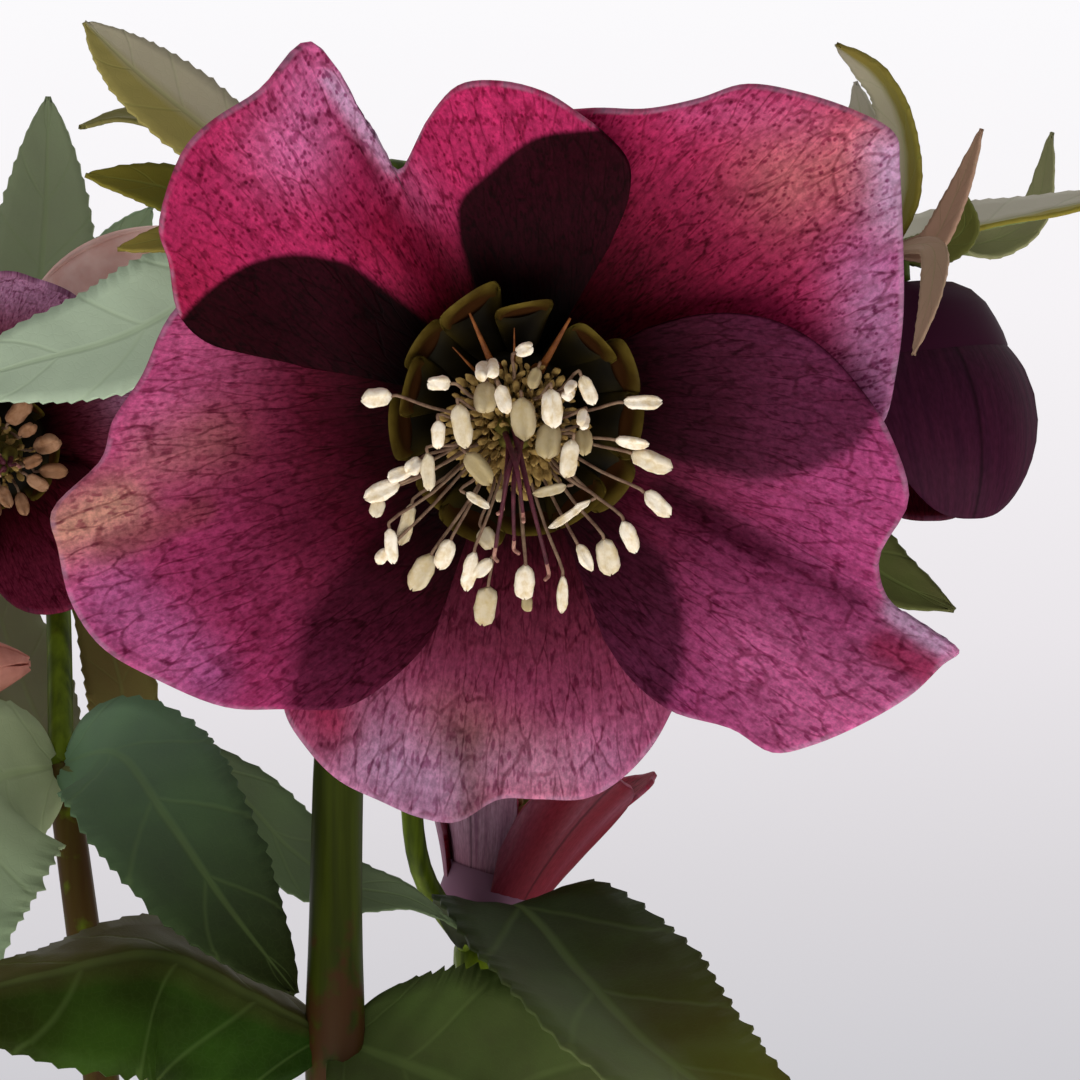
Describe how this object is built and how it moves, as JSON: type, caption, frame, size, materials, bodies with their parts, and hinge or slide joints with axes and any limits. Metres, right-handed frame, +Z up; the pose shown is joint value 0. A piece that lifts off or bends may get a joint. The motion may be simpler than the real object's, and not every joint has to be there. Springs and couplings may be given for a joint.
{
  "type": "hellebore plant",
  "caption": "Potted hellebore in flower: wine red nodding blooms on leafy stems above a ring of leathery fingered leaves, in a plain terracotta pot.",
  "frame": {"origin": "middle of the pot's underside", "axes": "+Z up; the main bloom faces -Y"},
  "size_m": [0.3663, 0.3436, 0.3889],
  "materials": {
    "wine_sepal": "soft living petal, magenta to wine red with dark dots and veins",
    "dark_sepal": "soft living petal, dark maroon",
    "mauve_sepal": "soft living petal, mauve outside",
    "nectary": "olive green, waxy",
    "stamen": "cream, powdery",
    "style": "red-brown, smooth",
    "stem": "green, juicy and smooth, with green and mauve leaves",
    "bud": "pale pink, soft",
    "leaf": "dark green, leathery, slightly glossy",
    "soil": "dark crumbly potting compost",
    "terracotta": "plain unglazed terracotta"
  },
  "bodies": {
    "root": {"main_sepals": "wine_sepal", "main_nectaries": "nectary", "main_stamens": "stamen", "main_pistil": "style", "right_sepals": "dark_sepal", "right_nectaries": "nectary", "right_stamens": "stamen", "right_pistil": "style", "left_sepals": "dark_sepal", "left_nectaries": "nectary", "left_stamens": "stamen", "left_pistil": "style", "lower_sepals": "mauve_sepal", "lower_nectaries": "nectary", "lower_stamens": "stamen", "lower_pistil": "style", "main_leafy_stem": "stem", "left_leafy_stem": "stem", "right_leafy_stem": "stem", "bud_upper": "bud", "bud_lower": "bud", "bud_hidden": "bud", "root_leaf_1": "leaf", "root_leaf_2": "leaf", "root_leaf_3": "leaf", "root_leaf_4": "leaf", "root_leaf_5": "leaf", "root_leaf_6": "leaf", "soil": "soil", "pot": "terracotta"}
  },
  "joints": []
}
